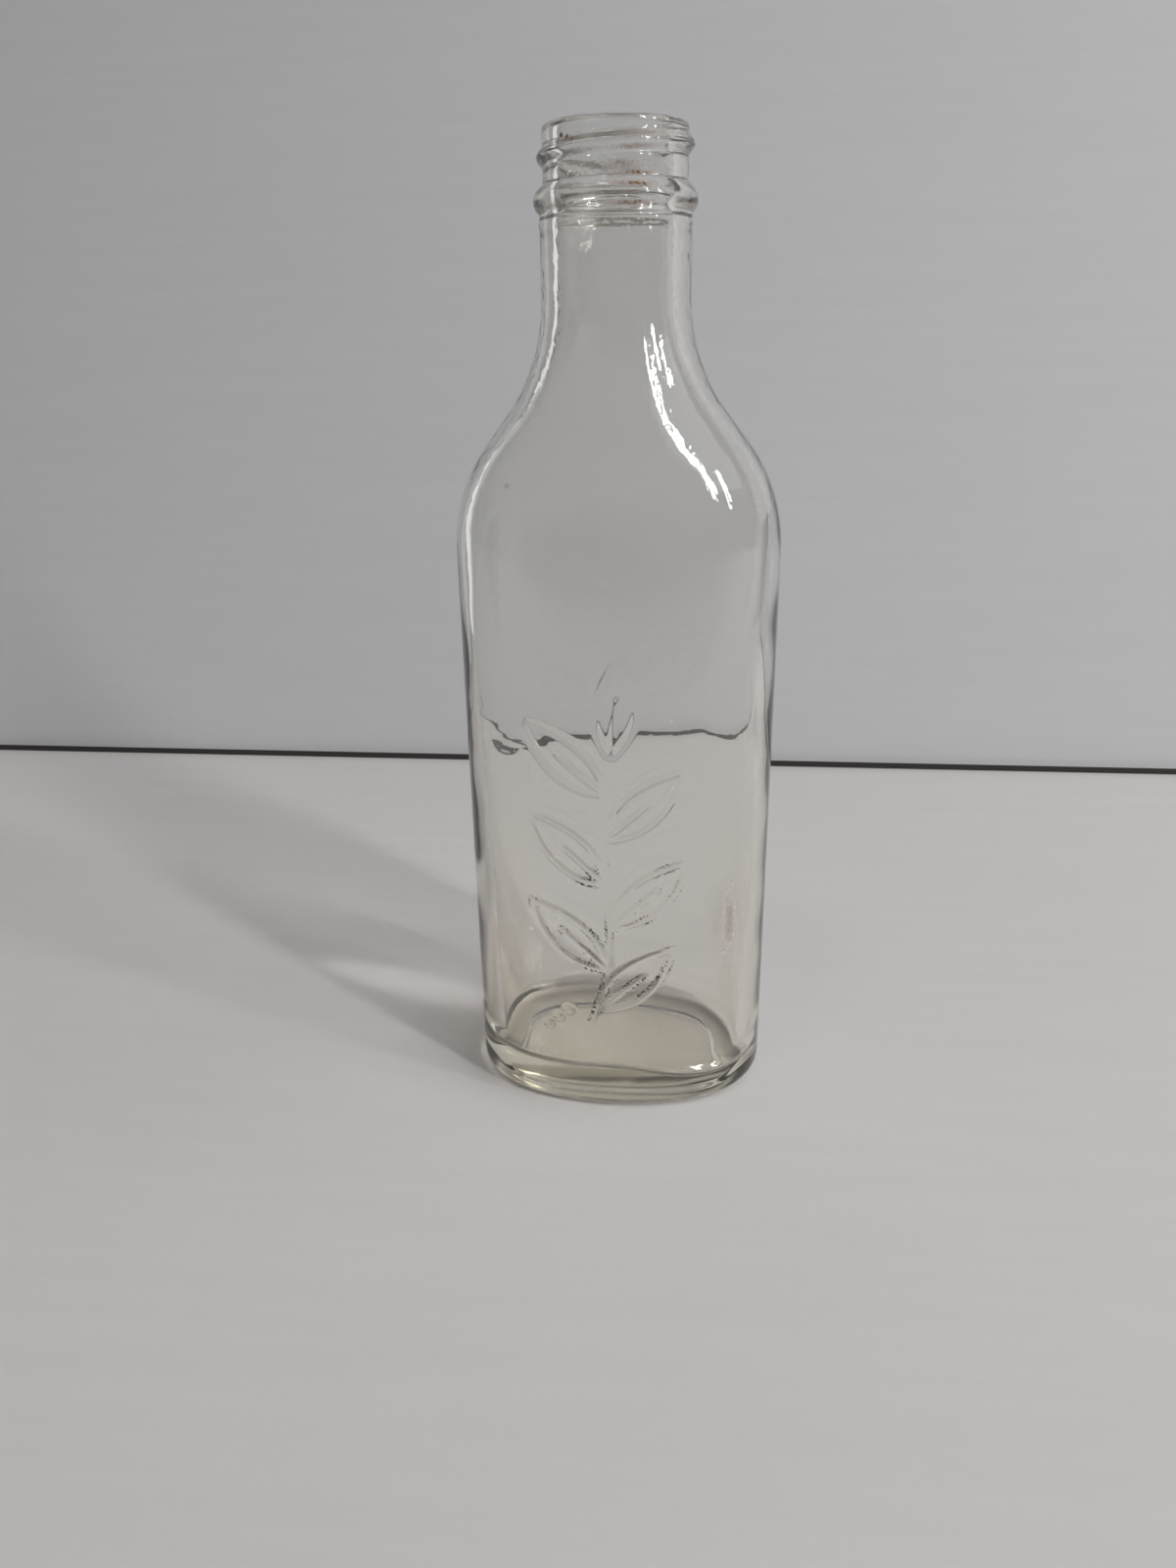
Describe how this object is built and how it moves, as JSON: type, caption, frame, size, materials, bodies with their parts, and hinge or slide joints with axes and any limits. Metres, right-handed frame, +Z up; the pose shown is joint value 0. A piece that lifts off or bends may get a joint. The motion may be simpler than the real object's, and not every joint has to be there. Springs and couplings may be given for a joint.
{
  "type": "cod liver oil bottle",
  "caption": "Empty clear glass oil bottle with an oval flask body, sloping shoulders, a round screw neck with a bead, and an embossed leaf sprig on its front.",
  "frame": {"origin": "centre of the foot, on the surface that the bottle stands on", "axes": "+Z up along the neck, +X along the wide side, -Y out of the embossed front"},
  "size_m": [0.0628, 0.0444, 0.188],
  "materials": {
    "glass": "clear moulded glass, smooth, with some brown dirt in the lines"
  },
  "bodies": {
    "root": {"bottle": "glass"}
  },
  "joints": []
}
